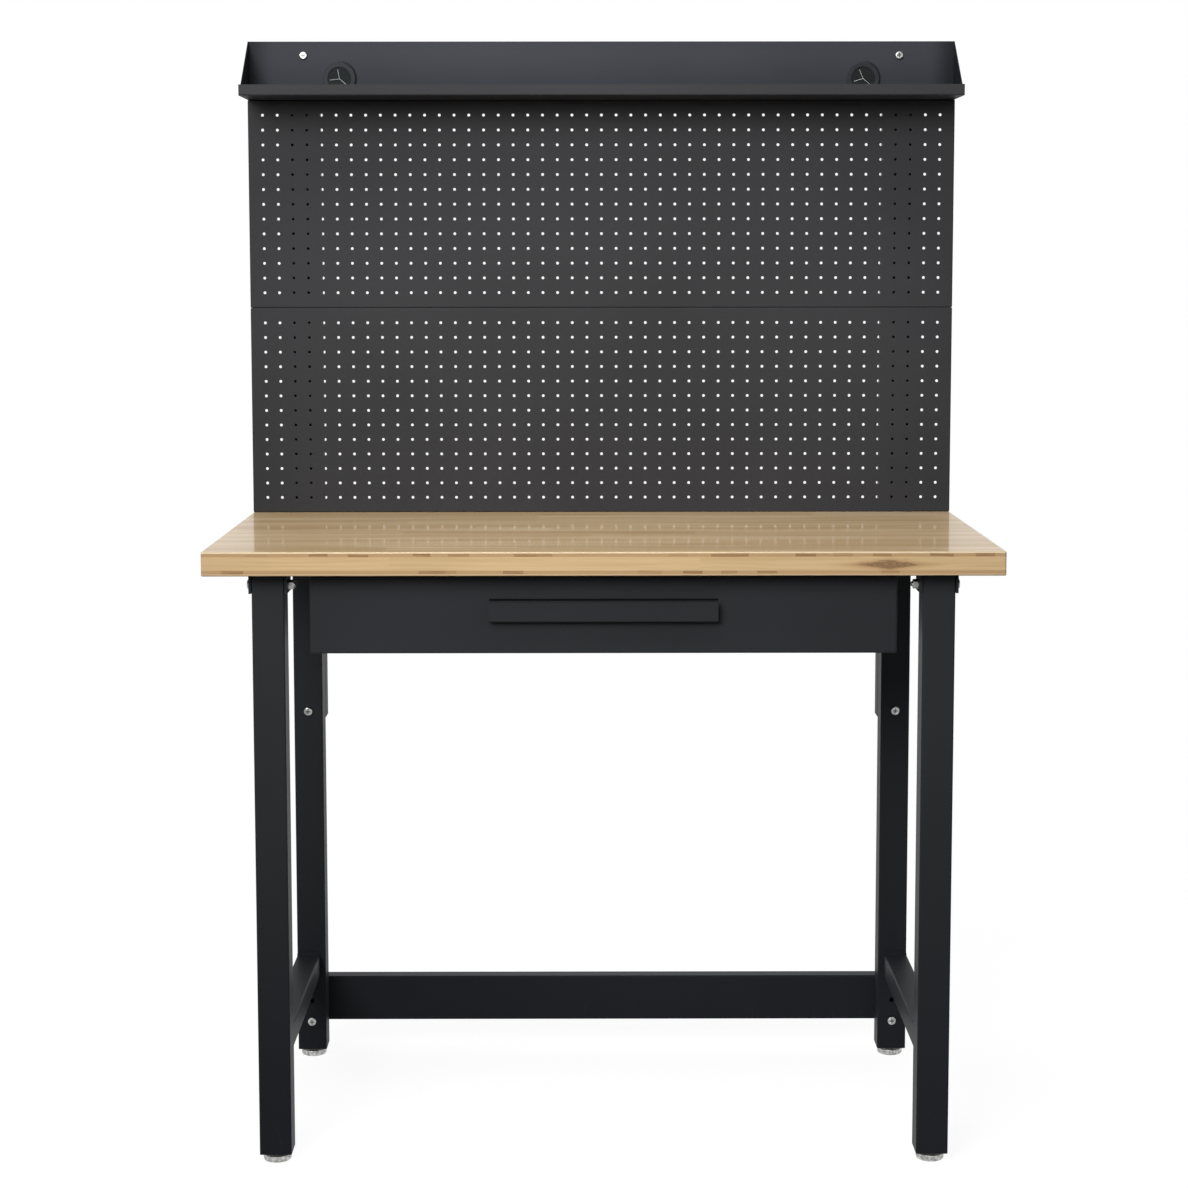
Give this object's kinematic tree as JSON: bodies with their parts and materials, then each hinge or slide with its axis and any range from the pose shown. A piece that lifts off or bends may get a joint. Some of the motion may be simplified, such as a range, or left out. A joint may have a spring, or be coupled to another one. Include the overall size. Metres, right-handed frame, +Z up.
{
  "type": "workbench with pegboard",
  "caption": "Steel workbench with a laminated wood top, a wide drawer with a folded pull, pegboard panels, a tool shelf above them and levelling feet.",
  "frame": {"origin": "on the floor, at the centre of the footprint", "axes": "+X to the right of someone standing in front, +Y to the back, +Z up"},
  "size_m": [1.2192, 0.65, 1.7842],
  "materials": {
    "laminated_wood": "clear varnish",
    "frame_paint": "satin powder coat, blue-black",
    "front_paint": "satin powder coat, blue-black",
    "panel_paint": "fine textured powder coat, dark grey",
    "zinc": "bright zinc plating",
    "slide_steel": "cold-rolled, zinc plated",
    "black_plastic": "moulded",
    "black_rubber": "moulded"
  },
  "bodies": {
    "frame": {"bracket_bolts": "zinc", "bracket_nuts": "zinc", "bracket_screws": "zinc", "drawer_hanger_left": "frame_paint", "drawer_hanger_right": "frame_paint", "foot_plate_front_left": "zinc", "foot_plate_front_right": "zinc", "foot_plate_rear_left": "zinc", "foot_plate_rear_right": "zinc", "frame_bolts": "zinc", "frame_nuts": "zinc", "grommet_flap_left": "black_rubber", "grommet_flap_right": "black_rubber", "grommet_ring_left": "black_plastic", "grommet_ring_right": "black_plastic", "hanger_screws": "zinc", "leg_front_left": "frame_paint", "leg_front_right": "frame_paint", "leg_rear_left": "frame_paint", "leg_rear_right": "frame_paint", "pegboard_lower": "panel_paint", "pegboard_nuts": "zinc", "pegboard_screws": "zinc", "pegboard_upper": "panel_paint", "post_left": "frame_paint", "post_right": "frame_paint", "rear_stretcher": "frame_paint", "shelf": "panel_paint", "shelf_nuts": "zinc", "shelf_screws": "zinc", "side_stretcher_left": "frame_paint", "side_stretcher_right": "frame_paint", "slide_outer_left": "slide_steel", "slide_outer_right": "slide_steel", "slide_outer_screws": "zinc", "top_bracket_front_left": "frame_paint", "top_bracket_front_right": "frame_paint", "top_bracket_rear_left": "frame_paint", "top_bracket_rear_right": "frame_paint", "worktop": "laminated_wood"},
    "drawer": {"drawer_bottom": "frame_paint", "drawer_side_left": "frame_paint", "drawer_side_right": "frame_paint", "drawer_inner_front": "frame_paint", "drawer_back": "frame_paint", "drawer_front": "front_paint", "drawer_handle": "front_paint", "drawer_front_nuts": "zinc", "handle_screws": "zinc", "slide_inner_left": "slide_steel", "slide_inner_right": "slide_steel", "slide_inner_screws": "zinc"},
    "slide_middle_members": {"slide_middle_left": "slide_steel", "slide_middle_right": "slide_steel"},
    "foot_front_left": {"levelling_foot_front_left": "zinc"},
    "foot_front_right": {"levelling_foot_front_right": "zinc"},
    "foot_rear_left": {"levelling_foot_rear_left": "zinc"},
    "foot_rear_right": {"levelling_foot_rear_right": "zinc"}
  },
  "joints": [
    {"name": "drawer_slide", "type": "slide", "parent": "frame", "child": "drawer", "axis": [0, -1, 0], "range_m": [0, 0.42]},
    {"name": "slide_middle_travel", "type": "slide", "parent": "frame", "child": "slide_middle_members", "axis": [0, -1, 0], "range_m": [0, 0.21]},
    {"name": "foot_front_left_level", "type": "slide", "parent": "frame", "child": "foot_front_left", "axis": [0, 0, -1], "range_m": [0, 0.02]},
    {"name": "foot_front_right_level", "type": "slide", "parent": "frame", "child": "foot_front_right", "axis": [0, 0, -1], "range_m": [0, 0.02]},
    {"name": "foot_rear_left_level", "type": "slide", "parent": "frame", "child": "foot_rear_left", "axis": [0, 0, -1], "range_m": [0, 0.02]},
    {"name": "foot_rear_right_level", "type": "slide", "parent": "frame", "child": "foot_rear_right", "axis": [0, 0, -1], "range_m": [0, 0.02]}
  ],
  "couplings": [
    {"joint": "slide_middle_travel", "follows": "drawer_slide", "ratio": 0.5}
  ]
}
